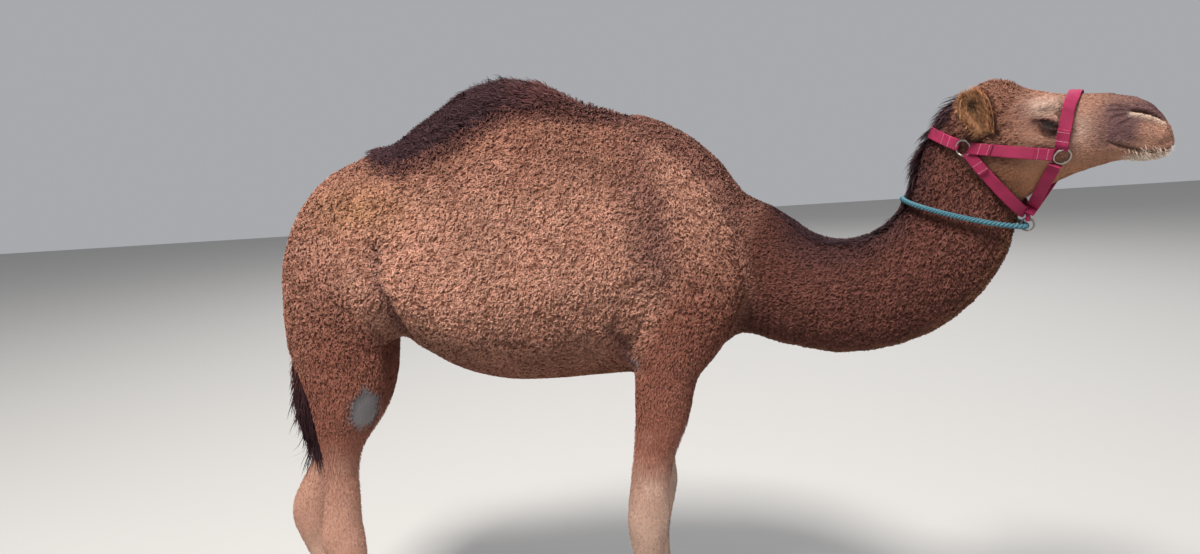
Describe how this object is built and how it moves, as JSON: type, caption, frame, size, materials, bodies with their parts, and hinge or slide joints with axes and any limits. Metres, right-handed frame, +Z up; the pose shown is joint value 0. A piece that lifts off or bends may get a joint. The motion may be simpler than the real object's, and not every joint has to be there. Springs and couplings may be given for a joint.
{
  "type": "dromedary camel",
  "caption": "Still life-size model of a young one-humped camel standing with its neck turned to its right, wearing a webbing halter and a rope collar.",
  "frame": {"origin": "on the floor, under the middle of the animal's bounding box", "axes": "+X ahead along the trunk, +Z up, -Y to the animal's right, the side to which it turns its neck"},
  "size_m": [2.1471, 0.849, 1.622],
  "materials": {
    "body_coat": "short curly wool, reddish brown with sandy tips, pale on the shanks and throat",
    "face_coat": "very short velvety hair, dark on the muzzle's sides, tan on lips and lids",
    "long_hair": "long soft blackish brown hair over the hump, nape and tail",
    "eye": "wet dark brown",
    "nail": "dull dark horn",
    "webbing": "woven magenta webbing, stitched",
    "ring_metal": "dull galvanised wire",
    "rope": "laid blue rope, a little frayed"
  },
  "bodies": {
    "root": {"ear_left": "face_coat", "ear_right": "face_coat", "eye_left": "eye", "eye_right": "eye", "foreleg_left": "body_coat", "foreleg_right": "body_coat", "halter_cheek_left": "webbing", "halter_cheek_right": "webbing", "halter_chin": "webbing", "halter_crown": "webbing", "halter_keeper": "webbing", "halter_nose": "webbing", "halter_throat": "webbing", "head": "face_coat", "hindleg_left": "body_coat", "hindleg_right": "body_coat", "hump": "long_hair", "nail_foreleg_left_1": "nail", "nail_foreleg_left_2": "nail", "nail_foreleg_right_1": "nail", "nail_foreleg_right_2": "nail", "nail_hindleg_left_1": "nail", "nail_hindleg_left_2": "nail", "nail_hindleg_right_1": "nail", "nail_hindleg_right_2": "nail", "neck_lower": "body_coat", "neck_upper": "body_coat", "ring_cheek_left": "ring_metal", "ring_cheek_right": "ring_metal", "ring_nose_left": "ring_metal", "ring_nose_right": "ring_metal", "ring_throat": "ring_metal", "rope_collar": "rope", "tail": "long_hair", "trunk": "body_coat"}
  },
  "joints": []
}
